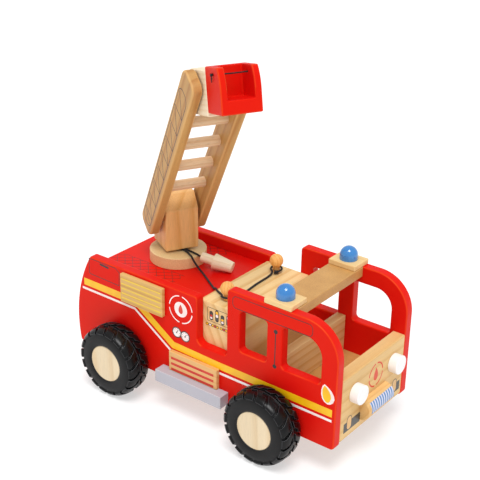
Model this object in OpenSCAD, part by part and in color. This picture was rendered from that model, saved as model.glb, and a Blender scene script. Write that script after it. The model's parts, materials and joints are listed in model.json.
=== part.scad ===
/* [Body] */
// Length of the side plates
body_len = 374; // [340:1:420]
// How far the origin lies ahead of the middle of the side boards
origin_ahead = 7.75; // [0:0.25:12]
// Width over the two side plates
body_w = 150; // [130:1:170]
// Thickness of the boards
board_t = 12; // [10:0.5:14]
// Height of the side plates' bottom edge above the floor
sill_z = 35; // [30:1:40]
// Height of the plates behind the cab
rear_z = 154.7; // [148:0.1:160]
// Height of the cab roof
roof_z = 179.3; // [172:0.1:190]
// Radius of the curved tail edge
tail_r = 169; // [120:1:220]
// Height of the middle of the tail curve
tail_mid_z = 67; // [60:1:75]
// Radius of the rounded windscreen corner
brow_r = 41.5; // [34:0.5:46]
// Radius of the small corners of the plates
corner_r = 4.5; // [3:0.5:6]

/* [Cab] */
// Length of the cab along the roof, from its back edge to the nose
cab_len = 143.5; // [135:0.5:155]
// Length of the notch between the cab and the rear part
notch_len = 42; // [34:1:50]
// Height of the bottom of the notch
notch_z = 96; // [90:1:104]
// Radius of the notch corner
notch_r = 8; // [5:1:11]
// Height of the window sills
window_z = 108.5; // [104:0.5:114]
// Height of the top of the rear window
window_top_z = 158.5; // [150:0.5:160]
// Length of the rear window
rear_window_len = 36; // [30:1:40]
// Distance from the cab's back edge to the rear window
rear_window_gap = 17.5; // [14:0.5:20]
// Width of the pillar between the windows
pillar_w = 19.7; // [16:0.1:24]
// Width of the frame round the front window
brow_w = 20.4; // [17:0.1:24]

/* [Boards] */
// Height of the top of the floor board
floor_z = 67.4; // [62:0.1:72]
// Height of the top of the rear deck
deck_z = 141.4; // [136:0.1:146]
// Distance from the nose to the deck's rear edge
deck_rear_in = 350.5; // [330:0.5:352]
// Height of the top of the engine block behind the cab
bench_z = 147; // [144:0.5:152]
// Length of the engine block
bench_len = 60; // [50:1:66]
// Distance from the nose to the engine block's front
bench_in = 131; // [125:1:140]
// Thickness of the front panel
panel_t = 15.4; // [12:0.1:18]
// Height of the front panel's bottom edge
panel_z = 38.9; // [36:0.1:44]
// Height of the front panel's top edge
panel_top_z = 114.6; // [108:0.1:120]
// Distance from the nose to the front of the seat back
seat_in = 78; // [70:1:84]
// Height of the top of the seat back
seat_top_z = 112.4; // [105:0.1:120]

/* [Roof] */
// Length of the roof beam
beam_len = 35.6; // [30:0.1:42]
// Height of the roof beam
beam_h = 12; // [9:0.5:17]
// Distance from the nose to the front of the roof beam
beam_in = 59.5; // [56:0.5:68]
// Length of a roof pad
pad_len = 34.9; // [30:0.1:40]
// Width of a roof pad
pad_w = 29; // [24:1:34]
// Thickness of a roof pad
pad_t = 6.1; // [4:0.1:9]
// Distance from the nose to the front of the roof pads
pad_in = 60.1; // [56:0.1:64]
// Radius of a beacon
beacon_r = 10.4; // [8:0.1:12]
// Height of a beacon's straight foot
beacon_foot = 4.9; // [1:0.1:7]

/* [Front] */
// Radius of a headlight
lamp_r = 11; // [9:0.5:13]
// How far a headlight stands out of the panel
lamp_len = 10.8; // [8:0.1:13]
// Distance of a headlight from the middle
lamp_y = 39; // [34:1:44]
// Height of the headlights
lamp_z = 90.5; // [86:0.5:98]
// Radius of the half-round grille bar
grille_r = 12.3; // [10:0.1:16]
// Length of the grille bar
grille_len = 51; // [44:1:60]
// Height of the middle of the grille bar
grille_z = 61.2; // [57:0.1:66]

/* [Side trims] */
// Length of a running step
step_len = 96; // [80:1:110]
// Depth of a running step, out from the plate
step_d = 15; // [10:1:18]
// Height of a running step
step_h = 15.5; // [12:0.5:18]
// Height of the top of a running step
step_z = 51.5; // [48:0.5:56]
// Distance from the nose to the front end of a step
step_in = 139.8; // [136:0.1:146]
// Thickness of the vent plates and locker fronts
trim_t = 5.5; // [4:0.5:8]
// Length of a vent plate
vent_len = 70; // [60:1:80]
// Height of a vent plate
vent_h = 25; // [20:1:28]
// Distance from the nose to the front end of a vent plate
vent_in = 152.8; // [148:0.1:158]
// Length of a locker front
locker_len = 64.3; // [56:0.1:72]
// Height of a locker front
locker_h = 36; // [30:1:38]
// Distance from the nose to the front end of a locker front
locker_in = 232; // [228:1:240]
// Height of the bottom of a locker front
locker_z = 115.5; // [112:0.5:118]

/* [Wheels] */
// Radius of a tyre, which is the height of the axles
tyre_r = 43.6; // [40:0.1:46]
// Width of a tyre
tyre_w = 32.7; // [28:0.1:36]
// Radius of the wooden wheel core
hub_r = 22.5; // [20:0.5:26]
// Gap between a side plate and a wheel
wheel_gap = 2; // [1.5:0.1:4]
// Depth of the core's face below the tyre's outer face
hub_inset = 1.2; // [0.5:0.1:3]
// Radius of a steel axle
axle_r = 3; // [2.5:0.1:4]
// Distance from the nose to the front axle
front_axle_in = 79.7; // [76:0.1:84]
// Distance between the axles
wheelbase = 217.3; // [200:0.1:230]

/* [Turret] */
// Distance from the nose to the turret's middle
turret_in = 285.3; // [280:0.1:290]
// Sideways place of the turret's middle
turret_y = 10; // [0:1:12]
// Direction that the turret faces at rest, in degrees
turret_turn = -28.3; // [-40:0.1:0]
// Radius of the turret disc
disc_r = 34.2; // [30:0.1:38]
// Thickness of the turret disc
disc_t = 14.2; // [10:0.1:18]
// Width of the turret block
block_w = 41; // [36:1:44]
// Length of the turret block
block_len = 42; // [36:1:46]
// How far the block's front stands ahead of the turret's middle
block_front = 14; // [12:1:18]
// Height of the block's upright front face
block_face_h = 50.5; // [46:0.5:56]
// Height of the block above that face
block_top_h = 17; // [14:1:20]
// Length of the slope at the top of the block
block_slope = 13; // [10:1:16]
// Height of the round foot under the block
foot_h = 3.2; // [3.2:0.1:5]
// Radius of the round foot
foot_r = 5; // [4.5:0.1:6]
// Radius of the turret's pin
turret_pin_r = 4; // [3:0.1:4.2]
// Depth of the turret's pin in the block
pin_depth = 16; // [10:1:24]

/* [Ladder] */
// Angle of the ladder above level at rest
ladder_raise = 57; // [30:1:75]
// Height of the ladder's pivot above the block's bottom
pivot_h = 45; // [40:1:50]
// Distance of the pivot behind the block's front
pivot_back = 17.2; // [14:0.1:22]
// Length of a ladder rail past the pivot
rail_len = 236.5; // [210:0.5:260]
// Length of a rail below the pivot
rail_tail = 27; // [22:1:30]
// Width of a ladder rail
rail_w = 33.8; // [28:0.1:38]
// Thickness of a ladder rail
rail_t = 11.7; // [9:0.1:14]
// Radius of the rounded rail ends' corners
rail_r = 10; // [6:1:14]
// Clear width between the rails
ladder_gap = 47.4; // [46:0.1:54]
// Radius of a rung
rung_r = 6; // [4.5:0.1:7]
// Distance from the pivot to the first rung
rung_first = 50; // [46:1:56]
// Distance from rung to rung
rung_pitch = 38.3; // [34:0.1:38.3]
// Depth of a rung or pin in a rail
rung_seat = 6; // [4:0.5:8]
// Radius of the ladder's pivot pin
pivot_pin_r = 5; // [4:0.1:6]

/* [Basket] */
// Distance from the ladder's pivot to the basket's pivot
basket_at = 203; // [203:1:212]
// Tilt of the basket above level at rest
basket_tilt = 12; // [0:1:20]
// Width of the basket and its carrier
basket_w = 44.6; // [40:0.1:44.8]
// Depth of the basket
basket_d = 37; // [32:1:42]
// Height of the basket
basket_h = 46.8; // [42:0.1:52]
// Thickness of the basket's sides
basket_wall = 7.6; // [6:0.1:10]
// Thickness of the basket's back
basket_back = 8; // [6:0.5:12]
// Height of the basket's floor
basket_floor = 14.4; // [10:0.1:18]
// How far the basket's top front edge leans back
basket_lean = 6; // [3:1:8]
// Distance from the basket's pivot to the basket's back
carrier_len = 36.6; // [32:0.1:40]
// Length of the carrier behind its pivot
carrier_tail = 13.4; // [10:0.1:15]
// Height of the carrier
carrier_h = 47; // [40:1:48]
// Height of the basket's pivot above the carrier's bottom
carrier_pivot_h = 15.6; // [12:0.1:18]
// How far the basket's bottom stands above the carrier's bottom
basket_up = 4; // [2:0.5:6]
// Radius of the basket's pivot pin
basket_pin_r = 4; // [3:0.1:5]
// Radius of the elastic
elastic_r = 0.9; // [0.6:0.1:1.2]

/* [Pegs and hose] */
// Radius of a peg's ball
ball_r = 8; // [6:0.5:9]
// Height of a ball's middle above the engine block
ball_h = 14; // [12:0.5:16]
// Radius of a peg's stem
stem_r = 4; // [3:0.1:4]
// Distance of a peg from the middle
peg_y = 46; // [40:1:50]
// Distance from the nose to the pegs
peg_in = 165.8; // [162:0.1:170]
// Diameter of the hose cord
hose_d = 2.4; // [2:0.1:2.6]
// Radius of the nozzle's neck
neck_r = 5.8; // [4:0.1:6.5]
// Length of the nozzle's neck
neck_len = 16; // [12:0.5:20]
// Radius of the nozzle's widest part
nozzle_r = 9.5; // [7.5:0.1:10]
// Radius of the nozzle's tip
tip_r = 6.6; // [5:0.1:6.8]
// Length of the nozzle's cone
cone_len = 24; // [20:1:28]

/* [Fits] */
// Radial clearance of a pin that turns in its hole
run_fit = 0.1; // [0.05:0.01:0.1]
// Gap under the turret's foot
turn_gap = 0.1; // [0.05:0.05:0.2]

/* [Hidden] */
$fn = 96;

red = [0.87, 0.16, 0.09];
pine = [0.90, 0.74, 0.50];
beech = [0.93, 0.76, 0.56];
pale = [0.93, 0.85, 0.72];
grey = [0.62, 0.64, 0.66];
dark = [0.13, 0.13, 0.14];

nose_x = body_len / 2 - origin_ahead;
tail_x = nose_x - body_len;
cab_x = nose_x - cab_len;
notch_x = cab_x - notch_len;
in_w = body_w - 2 * board_t;
floor_bottom = floor_z - board_t;
deck_rear_x = nose_x - deck_rear_in;
bench_front_x = nose_x - bench_in;
bench_rear_x = bench_front_x - bench_len;
front_axle_x = nose_x - front_axle_in;
rear_axle_x = front_axle_x - wheelbase;
turret_x = nose_x - turret_in;
disc_top = deck_z + disc_t;
block_z = disc_top + foot_h;
pivot_x = block_front - pivot_back;
pivot_z = block_z + pivot_h;
basket_y = basket_w / 2;
wheel_y = body_w / 2 + wheel_gap;
wheel_end = wheel_y + tyre_w;
peg_x = nose_x - peg_in;
far = 400;

// A profile in length and height, as a board that starts at y and grows towards +Y
module board(y, t) {
    translate([0, y + t, 0]) rotate([90, 0, 0]) linear_extrude(t) children();
}

// A box from its low and high corners
module block(a, b) {
    translate(a) cube(b - a);
}

// A rectangle with one corner radius
module soft_rect(x0, z0, x1, z1, r) {
    union() {
        translate([x0 + r, z0]) square([x1 - x0 - 2 * r, z1 - z0]);
        translate([x0, z0 + r]) square([x1 - x0, z1 - z0 - 2 * r]);
        for (x = [x0 + r, x1 - r], z = [z0 + r, z1 - r]) translate([x, z]) circle(r);
    }
}

// What a fillet of radius r takes from a corner at [x, z]; sx and sz point into the body
module corner_cut(x, z, sx, sz, r) {
    difference() {
        translate([x + min(sx, 0) * r - (sx > 0 ? 1 : 0), z + min(sz, 0) * r - (sz > 0 ? 1 : 0)])
            square(r + 1);
        translate([x + sx * r, z + sz * r]) circle(r);
    }
}

// Outline of the plates without windows: curved tail, low rear part, notch and cab
module plate_outline() {
    lip_r = 6;
    difference() {
        intersection() {
            union() {
                translate([tail_x, sill_z]) square([body_len, rear_z - sill_z]);
                translate([cab_x, sill_z]) square([cab_len, roof_z - sill_z]);
            }
            union() {
                translate([tail_x + tail_r, tail_mid_z]) circle(tail_r);
                translate([tail_x + tail_r / 2, 0]) square([body_len, roof_z + 10]);
            }
        }
        difference() {
            translate([notch_x, notch_z]) square([notch_len, roof_z]);
            corner_cut(notch_x, notch_z, 1, 1, notch_r);
            corner_cut(cab_x, notch_z, -1, 1, corner_r);
        }
        corner_cut(tail_x, sill_z, 1, 1, lip_r);
        corner_cut(nose_x, sill_z, -1, 1, corner_r);
        corner_cut(nose_x, roof_z, -1, -1, brow_r);
        corner_cut(cab_x, roof_z, 1, -1, corner_r);
        corner_cut(notch_x, rear_z, -1, -1, corner_r);
    }
}

module window_outline() {
    wx = cab_x + rear_window_gap;
    fx = wx + rear_window_len + pillar_w;
    top = roof_z - brow_w;
    soft_rect(wx, window_z, wx + rear_window_len, window_top_z, corner_r);
    difference() {
        soft_rect(fx, window_z, nose_x - brow_w, top, corner_r);
        corner_cut(nose_x - brow_w, top, -1, -1, brow_r - brow_w);
    }
}

module side_plate(side) {
    color(red) difference() {
        board(side > 0 ? in_w / 2 : -body_w / 2, board_t) difference() {
            plate_outline();
            window_outline();
        }
        for (x = [front_axle_x, rear_axle_x])
            translate([x, 0, tyre_r]) rotate([90, 0, 0]) cylinder(r = axle_r + run_fit, h = far, center = true);
    }
}

module side_plate_right() { side_plate(-1); }
module side_plate_left() { side_plate(1); }

module floor_board() {
    color(red) block([deck_rear_x + board_t, -in_w / 2, floor_bottom], [nose_x - panel_t, in_w / 2, floor_z]);
}

module rear_panel() {
    color(red) block([deck_rear_x, -in_w / 2, sill_z + 4], [deck_rear_x + board_t, in_w / 2, deck_z - board_t]);
}

module deck_board() {
    color(red) difference() {
        block([deck_rear_x, -in_w / 2, deck_z - board_t], [bench_rear_x, in_w / 2, deck_z]);
        turret_bore(deck_z - board_t - 1, deck_z + 1);
    }
}

module turret_bore(z0, z1) {
    translate([turret_x, turret_y, z0]) cylinder(r = turret_pin_r + run_fit, h = z1 - z0);
}

module engine_block() {
    color(pine) block([bench_rear_x, -in_w / 2, floor_z], [bench_front_x, in_w / 2, bench_z]);
}

module front_panel() {
    color(pine) block([nose_x - panel_t, -in_w / 2, panel_z], [nose_x, in_w / 2, panel_top_z]);
}

module grille_bar() {
    color(pine) intersection() {
        translate([nose_x, 0, grille_z]) rotate([90, 0, 0])
            cylinder(r = grille_r, h = grille_len, center = true);
        block([nose_x, -far, 0], [nose_x + far, far, far]);
    }
}

module headlights() {
    color("white") for (side = [-1, 1]) translate([nose_x, side * lamp_y, lamp_z])
        rotate([0, 90, 0]) cylinder(r = lamp_r, h = lamp_len);
}

module roof_beam() {
    color(pine) block([nose_x - beam_in - beam_len, -in_w / 2, roof_z - beam_h], [nose_x - beam_in, in_w / 2, roof_z]);
}

module roof_pads() {
    color(pine) for (side = [-1, 1])
        translate([nose_x - pad_in - pad_len, side > 0 ? body_w / 2 - pad_w : -body_w / 2, roof_z])
            cube([pad_len, pad_w, pad_t]);
}

module beacons() {
    color([0.25, 0.50, 0.78]) for (side = [-1, 1])
        translate([nose_x - pad_in - pad_len / 2, side * (body_w - pad_w) / 2, roof_z + pad_t]) {
            cylinder(r = beacon_r, h = beacon_foot);
            translate([0, 0, beacon_foot]) intersection() {
                sphere(beacon_r);
                cylinder(r = beacon_r, h = beacon_r);
            }
        }
}

module seat_back() {
    color(pine) block([nose_x - seat_in - board_t, -in_w / 2, floor_z], [nose_x - seat_in, in_w / 2, seat_top_z]);
}

module side_trim(side, x1, z0, size, shade) {
    y = side > 0 ? body_w / 2 : -body_w / 2 - size[1];
    color(shade) translate([x1 - size[0], y, z0]) cube(size);
}

module step(side) {
    side_trim(side, nose_x - step_in, step_z - step_h, [step_len, step_d, step_h], grey);
}

module vent_plate(side) {
    side_trim(side, nose_x - vent_in, step_z, [vent_len, trim_t, vent_h], pine);
}

module locker_front(side) {
    side_trim(side, nose_x - locker_in, locker_z, [locker_len, trim_t, locker_h], pine);
}

module step_right() { step(-1); }
module step_left() { step(1); }
module vent_plate_right() { vent_plate(-1); }
module vent_plate_left() { vent_plate(1); }
module locker_front_right() { locker_front(-1); }
module locker_front_left() { locker_front(1); }

module peg(side) {
    color(beech) translate([peg_x, side * peg_y, bench_z]) rotate_extrude() intersection() {
        union() {
            square([stem_r, ball_h]);
            translate([0, ball_h]) circle(ball_r);
        }
        square([far, far]);
    }
}

module peg_right() { peg(-1); }
module peg_left() { peg(1); }

// Route of the hose cord: tied round the left peg, along the engine block, round the right peg,
// over the deck to the turret's foot and round it, and out over the disc's rim to the nozzle
hose_route = [
    [19, 39.4, 150], [20, 43.3, 150.6], [19.8, 47.7, 151], [17.2, 51.2, 151.2],
    [12.8, 52.2, 151.2], [8.6, 49.9, 151], [7.2, 45.6, 150.8], [8.9, 41.5, 150.4],
    [12.9, 38.6, 150], [15.2, 34.6, 149.4], [16.2, 28, 148.6], [16.6, 14, 148.4],
    [17.2, 0, 148.4], [18.8, -16, 148.4], [20, -30, 149.4], [20.8, -40, 151.2],
    [20.9, -46, 152.2], [19.2, -50.6, 152.5], [14.6, -52.4, 152.4], [9.6, -51, 151.7],
    [6, -46.5, 150.6], [0, -42.2, 149.4], [-6, -38.8, 148.6], [-12.4, -35, 148.4],
    [-15.5, -32.6, 146.3], [-18.5, -29.8, 143.9], [-24, -25.4, 142.8], [-34, -19, 142.8],
    [-48, -10, 142.8], [-57, -4.8, 143.2], [-64, -3.8, 147], [-71, -3.8, 154],
    [-74, -3, 157], [-78.5, -0.6, 157.1], [-84, 2.4, 157.1], [-90.5, 5, 157.1],
    [-96, 5.6, 157.1], [-102.5, 3.9, 157.1], [-107.8, 3.2, 157.1], [-112.1, 6.5, 157.1],
    [-112.8, 11.8, 157.1], [-109.5, 16.1, 157.1], [-104.2, 16.8, 157.1], [-100.3, 14, 157.1],
    [-97.6, 11.3, 157.1], [-94.3, 9.4, 157.1], [-89, 8.4, 157.1], [-82, 7.6, 157.1],
    [-76.5, 6.8, 157.1], [-72.6, 6, 157.1], [-70, 5.9, 156.4], [-67.2, 6.8, 155.8]];
knot_at = [18, 39.1, 150];
knot_r = 3;
nozzle_at = hose_route[len(hose_route) - 1];
nozzle_turn = 17.8;
nozzle_dip = 10.8;

// Rings of a tube that follows the points p
function unit(v) = v / norm(v);
function heading(p, i) = unit(p[min(i + 1, len(p) - 1)] - p[max(i - 1, 0)]);
function ring(p, i, r, sides) = let (h = heading(p, i), s = unit(cross([0, 0, 1], h)), u = cross(h, s))
    [for (k = [0 : sides - 1]) p[i] + r * (cos(360 * k / sides) * s + sin(360 * k / sides) * u)];

// A round tube along the points p
module tube(p, r, sides) {
    last = len(p) - 1;
    points = [for (i = [0 : last]) each ring(p, i, r, sides)];
    walls = [for (i = [0 : last - 1], k = [0 : sides - 1]) let (m = (k + 1) % sides)
        [i * sides + k, i * sides + m, (i + 1) * sides + m, (i + 1) * sides + k]];
    caps = [[for (k = [sides - 1 : -1 : 0]) k], [for (k = [0 : sides - 1]) last * sides + k]];
    polyhedron(points, concat(walls, caps), convexity = 10);
}

module hose() {
    color(dark) tube(hose_route, hose_d / 2, 8);
}

module hose_knot() {
    color(dark) translate(knot_at) sphere(knot_r);
}

module nozzle() {
    color(pale) translate(nozzle_at) rotate([0, 0, nozzle_turn]) rotate([0, 90 + nozzle_dip, 0])
        rotate_extrude() polygon([[0, 0], [neck_r, 0], [neck_r, neck_len], [nozzle_r, neck_len],
            [tip_r, neck_len + cone_len], [0, neck_len + cone_len]]);
}

module turret_disc() {
    color(pine) difference() {
        translate([turret_x, turret_y, deck_z]) cylinder(r = disc_r, h = disc_t);
        turret_bore(deck_z - 1, disc_top + 1);
    }
}

// The turret's own place: its middle at the origin, facing +X
module on_turret() {
    translate([turret_x, turret_y, 0]) rotate([0, 0, turret_turn]) children();
}

module turret_block() {
    h = block_face_h + block_top_h;
    color(pine) on_turret() difference() {
        union() {
            board(-block_w / 2, block_w) translate([block_front - block_len, block_z])
                polygon([[0, 0], [block_len, 0], [block_len, block_face_h],
                    [block_len - block_slope, h], [0, h]]);
            translate([0, 0, disc_top + turn_gap]) cylinder(r = foot_r, h = foot_h);
        }
        translate([0, 0, disc_top]) cylinder(r = turret_pin_r, h = foot_h + pin_depth);
        translate([pivot_x, 0, pivot_z]) rotate([90, 0, 0])
            cylinder(r = pivot_pin_r + run_fit, h = far, center = true);
    }
}

module turret_pin() {
    color(beech) on_turret() translate([0, 0, deck_z - board_t])
        cylinder(r = turret_pin_r, h = board_t + disc_t + foot_h + pin_depth);
}

// The ladder's own place: its pivot at the origin, rails along +X
module on_ladder() {
    on_turret() translate([pivot_x, 0, pivot_z]) rotate([0, -ladder_raise, 0]) children();
}

module cross_pin(x, r, reach) {
    translate([x, 0, 0]) rotate([90, 0, 0]) cylinder(r = r, h = ladder_gap + 2 * reach, center = true);
}

function rung_places() = [for (i = [0 : 3]) rung_first + i * rung_pitch];

module ladder_rail(side) {
    color(pine) on_ladder() difference() {
        board(side > 0 ? ladder_gap / 2 : -ladder_gap / 2 - rail_t, rail_t)
            soft_rect(-rail_tail, -rail_w / 2, rail_len, rail_w / 2, rail_r);
        for (x = rung_places()) cross_pin(x, rung_r, rung_seat);
        cross_pin(0, pivot_pin_r, rung_seat);
        cross_pin(basket_at, basket_pin_r, rung_seat);
    }
}

module ladder_rail_right() { ladder_rail(-1); }
module ladder_rail_left() { ladder_rail(1); }

module rungs() {
    color(beech) on_ladder() for (x = rung_places()) cross_pin(x, rung_r, rung_seat);
}

module ladder_pin() {
    color(beech) on_ladder() cross_pin(0, pivot_pin_r, rung_seat);
}

module basket_pin() {
    color(beech) on_ladder() cross_pin(basket_at, basket_pin_r, rung_seat);
}

// The basket's own place: its pivot at the origin, its front towards +X
module on_basket() {
    on_ladder() translate([basket_at, 0, 0]) rotate([0, ladder_raise - basket_tilt, 0]) children();
}

module basket_carrier() {
    round_r = 12;
    color(pale) on_basket() difference() {
        board(-basket_y, basket_w) difference() {
            translate([-carrier_tail, -carrier_pivot_h]) square([carrier_len + carrier_tail, carrier_h]);
            corner_cut(-carrier_tail, carrier_h - carrier_pivot_h, 1, -1, round_r);
            corner_cut(-carrier_tail, -carrier_pivot_h, 1, 1, round_r / 2);
        }
        rotate([90, 0, 0]) cylinder(r = basket_pin_r + run_fit, h = far, center = true);
    }
}

elastic_x = carrier_len + basket_d - 17;
elastic_z = basket_up - carrier_pivot_h + 39.7;

module basket() {
    z0 = basket_up - carrier_pivot_h;
    front_x = carrier_len + basket_d;
    lean_r = (pow(basket_h / 2, 2) + pow(basket_lean, 2)) / (2 * basket_lean);
    color(red) on_basket() difference() {
        board(-basket_y, basket_w) intersection() {
            translate([carrier_len, z0]) square([basket_d, basket_h]);
            union() {
                translate([carrier_len, z0]) square([basket_d, basket_h / 2]);
                translate([front_x - lean_r, z0 + basket_h / 2]) circle(lean_r);
            }
        }
        block([carrier_len + basket_back, -basket_y + basket_wall, z0 + basket_floor],
            [far, basket_y - basket_wall, far]);
        translate([elastic_x, 0, elastic_z]) rotate([90, 0, 0])
            cylinder(r = elastic_r + 0.1, h = far, center = true);
    }
}

module basket_elastic() {
    knot_r = 1.9;
    color(dark) on_basket() translate([elastic_x, 0, elastic_z]) {
        rotate([90, 0, 0]) cylinder(r = elastic_r, h = basket_w + 2, center = true);
        for (side = [-1, 1]) translate([0, side * (basket_y + knot_r), 0]) sphere(knot_r);
    }
}

module axle(x) {
    color("silver") translate([x, 0, tyre_r]) rotate([90, 0, 0])
        cylinder(r = axle_r, h = 2 * (wheel_end - 6), center = true);
}

// A pair of rings about an axle, from the inner face of each wheel outwards
module wheel_rings(x, r_in, r_out, from, to) {
    for (side = [-1, 1]) translate([x, side * (from + to) / 2, tyre_r]) rotate([90, 0, 0])
        difference() {
            cylinder(r = r_out, h = to - from, center = true);
            if (r_in > 0) cylinder(r = r_in, h = to - from + 2, center = true);
        }
}

module tyres(x) {
    color(dark) wheel_rings(x, hub_r, tyre_r, wheel_y, wheel_end);
}

module hubs(x) {
    color(beech) difference() {
        wheel_rings(x, 0, hub_r, wheel_y, wheel_end - hub_inset);
        translate([x, 0, tyre_r]) rotate([90, 0, 0])
            cylinder(r = axle_r, h = 2 * (wheel_end - 6), center = true);
    }
}

module front_axle() { axle(front_axle_x); }
module front_tyres() { tyres(front_axle_x); }
module front_hubs() { hubs(front_axle_x); }
module rear_axle() { axle(rear_axle_x); }
module rear_tyres() { tyres(rear_axle_x); }
module rear_hubs() { hubs(rear_axle_x); }

side_plate_right();
side_plate_left();
floor_board();
rear_panel();
deck_board();
engine_block();
front_panel();
grille_bar();
headlights();
roof_beam();
roof_pads();
beacons();
seat_back();
step_right();
step_left();
vent_plate_right();
vent_plate_left();
locker_front_right();
locker_front_left();
peg_right();
peg_left();
hose();
hose_knot();
nozzle();
turret_disc();
turret_block();
turret_pin();
ladder_rail_right();
ladder_rail_left();
rungs();
ladder_pin();
basket_pin();
basket_carrier();
basket();
basket_elastic();
front_axle();
front_tyres();
front_hubs();
rear_axle();
rear_tyres();
rear_hubs();
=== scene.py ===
import json
import math

import bpy
from mathutils import Matrix, Vector

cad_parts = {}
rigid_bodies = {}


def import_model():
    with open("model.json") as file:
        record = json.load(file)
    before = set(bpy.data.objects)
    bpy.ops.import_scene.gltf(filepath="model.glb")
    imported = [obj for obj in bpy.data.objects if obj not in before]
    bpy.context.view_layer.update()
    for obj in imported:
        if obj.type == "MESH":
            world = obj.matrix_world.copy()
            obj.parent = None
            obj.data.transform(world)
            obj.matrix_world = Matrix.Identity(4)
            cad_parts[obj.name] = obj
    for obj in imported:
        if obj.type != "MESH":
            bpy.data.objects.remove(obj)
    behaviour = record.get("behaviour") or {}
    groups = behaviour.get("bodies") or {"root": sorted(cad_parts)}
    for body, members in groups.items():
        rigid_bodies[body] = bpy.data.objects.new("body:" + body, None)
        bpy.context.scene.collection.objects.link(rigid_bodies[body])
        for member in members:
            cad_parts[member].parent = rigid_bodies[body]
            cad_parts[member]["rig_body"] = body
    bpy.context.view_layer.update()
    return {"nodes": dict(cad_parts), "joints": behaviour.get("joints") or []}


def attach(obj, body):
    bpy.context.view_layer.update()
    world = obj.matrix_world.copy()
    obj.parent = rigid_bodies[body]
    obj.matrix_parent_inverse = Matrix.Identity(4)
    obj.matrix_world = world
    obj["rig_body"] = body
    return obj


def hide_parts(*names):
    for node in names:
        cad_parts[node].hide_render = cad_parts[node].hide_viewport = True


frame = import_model()
mm = 0.001
print("frame loaded:", len(frame["nodes"]), "nodes")

camera = {
    "place": (0.67403, -0.89007, 0.71364),
    "azimuth": 37.356,  # degrees round from the right side
    "elevation": 24.728,
    "roll": 0.98,
    "lens": 82.02,
}


def placeCamera():
    side, up = math.radians(camera["azimuth"]), math.radians(camera["elevation"])
    back = Vector((math.sin(side) * math.cos(up), -math.cos(side) * math.cos(up), math.sin(up)))
    right = (-back).cross(Vector((0, 0, 1))).normalized()
    over = right.cross(-back)
    roll = math.radians(camera["roll"])
    across = math.cos(roll) * right + math.sin(roll) * over
    over = -math.sin(roll) * right + math.cos(roll) * over
    lens = bpy.data.cameras.new("camera")
    lens.lens, lens.sensor_width = camera["lens"], 36
    lens.clip_start, lens.clip_end = 0.05, 60
    seen = bpy.data.objects.new("camera", lens)
    bpy.context.scene.collection.objects.link(seen)
    seen.matrix_world = Matrix.Translation(camera["place"]) @ Matrix((across, over, back)).transposed().to_4x4()
    bpy.context.scene.camera = seen


placeCamera()


def deselectAll():
    active = bpy.context.view_layer.objects.active
    if active and active.mode != "OBJECT":
        bpy.ops.object.mode_set(mode="OBJECT")
    bpy.ops.object.select_all(action="DESELECT")


def pick(obj):
    deselectAll()
    obj.select_set(True)
    bpy.context.view_layer.objects.active = obj
    return obj


def edit(obj, mode="FACE"):
    pick(obj)
    bpy.ops.object.mode_set(mode="EDIT")
    bpy.ops.mesh.select_mode(type=mode)
    bpy.ops.mesh.select_all(action="DESELECT")


def done():
    bpy.ops.object.mode_set(mode="OBJECT")


def applyModifier(obj, kind, **settings):
    pick(obj)
    made = obj.modifiers.new(kind.lower(), kind)
    for key, value in settings.items():
        setattr(made, key, value)
    bpy.ops.object.modifier_apply(modifier=made.name)


def settle(obj):  # place, turn and size go into the mesh
    pick(obj)
    bpy.ops.object.transform_apply(location=True, rotation=True, scale=True)


def joined(pieces, name):
    deselectAll()
    for piece in pieces:
        piece.select_set(True)
    bpy.context.view_layer.objects.active = pieces[0]
    if len(pieces) > 1:
        bpy.ops.object.join()
    whole = bpy.context.view_layer.objects.active
    whole.name = whole.data.name = name
    return whole


def outwards(obj):
    edit(obj)
    bpy.ops.mesh.select_all(action="SELECT")
    bpy.ops.mesh.remove_doubles(threshold=0.000002)
    bpy.ops.mesh.normals_make_consistent(inside=False)
    done()


def curveThrough(name, points, thickness, closed=False, sides=4):
    line = bpy.data.curves.new(name, "CURVE")
    line.dimensions = "3D"
    line.resolution_u = 5
    run = line.splines.new("BEZIER")
    run.bezier_points.add(len(points) - 1)
    for knob, point in zip(run.bezier_points, points):
        knob.co = Vector(point) * mm
        knob.handle_left_type = knob.handle_right_type = "AUTO"
    run.use_cyclic_u = closed
    line.bevel_depth = thickness / 2 * mm
    line.bevel_resolution = sides
    line.use_fill_caps = True
    obj = bpy.data.objects.new(name, line)
    bpy.context.scene.collection.objects.link(obj)
    return obj


def asMesh(obj):
    pick(obj)
    bpy.ops.object.convert(target="MESH")
    return bpy.context.view_layer.objects.active


def smooth(obj):
    pick(obj)
    bpy.ops.object.shade_smooth()


def finishPiece(obj, body, material, slotName, *nodes):
    if material:
        obj.data.materials.clear()
        obj.data.materials.append(material)
    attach(obj, body)
    if nodes:
        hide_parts(*nodes)
    return obj


def linear(hexText):
    parts = [int(hexText[i:i + 2], 16) / 255 for i in (1, 3, 5)]
    return tuple(c / 12.92 if c <= 0.04045 else ((c + 0.055) / 1.055) ** 2.4 for c in parts) + (1.0,)


def addNode(tree, kind, inputs=None, stops=None, **settings):
    node = tree.nodes.new(kind)
    for key, value in settings.items():
        setattr(node, key, value)
    for key, value in (inputs or {}).items():
        if isinstance(value, bpy.types.NodeSocket):
            tree.links.new(value, node.inputs[key])
        else:
            node.inputs[key].default_value = value
    for i, (at, shade) in enumerate(stops or []):
        ramp = node.color_ramp.elements
        stop = ramp[i] if i < 2 else ramp.new(at)
        stop.position, stop.color = at, shade
    return node


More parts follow.
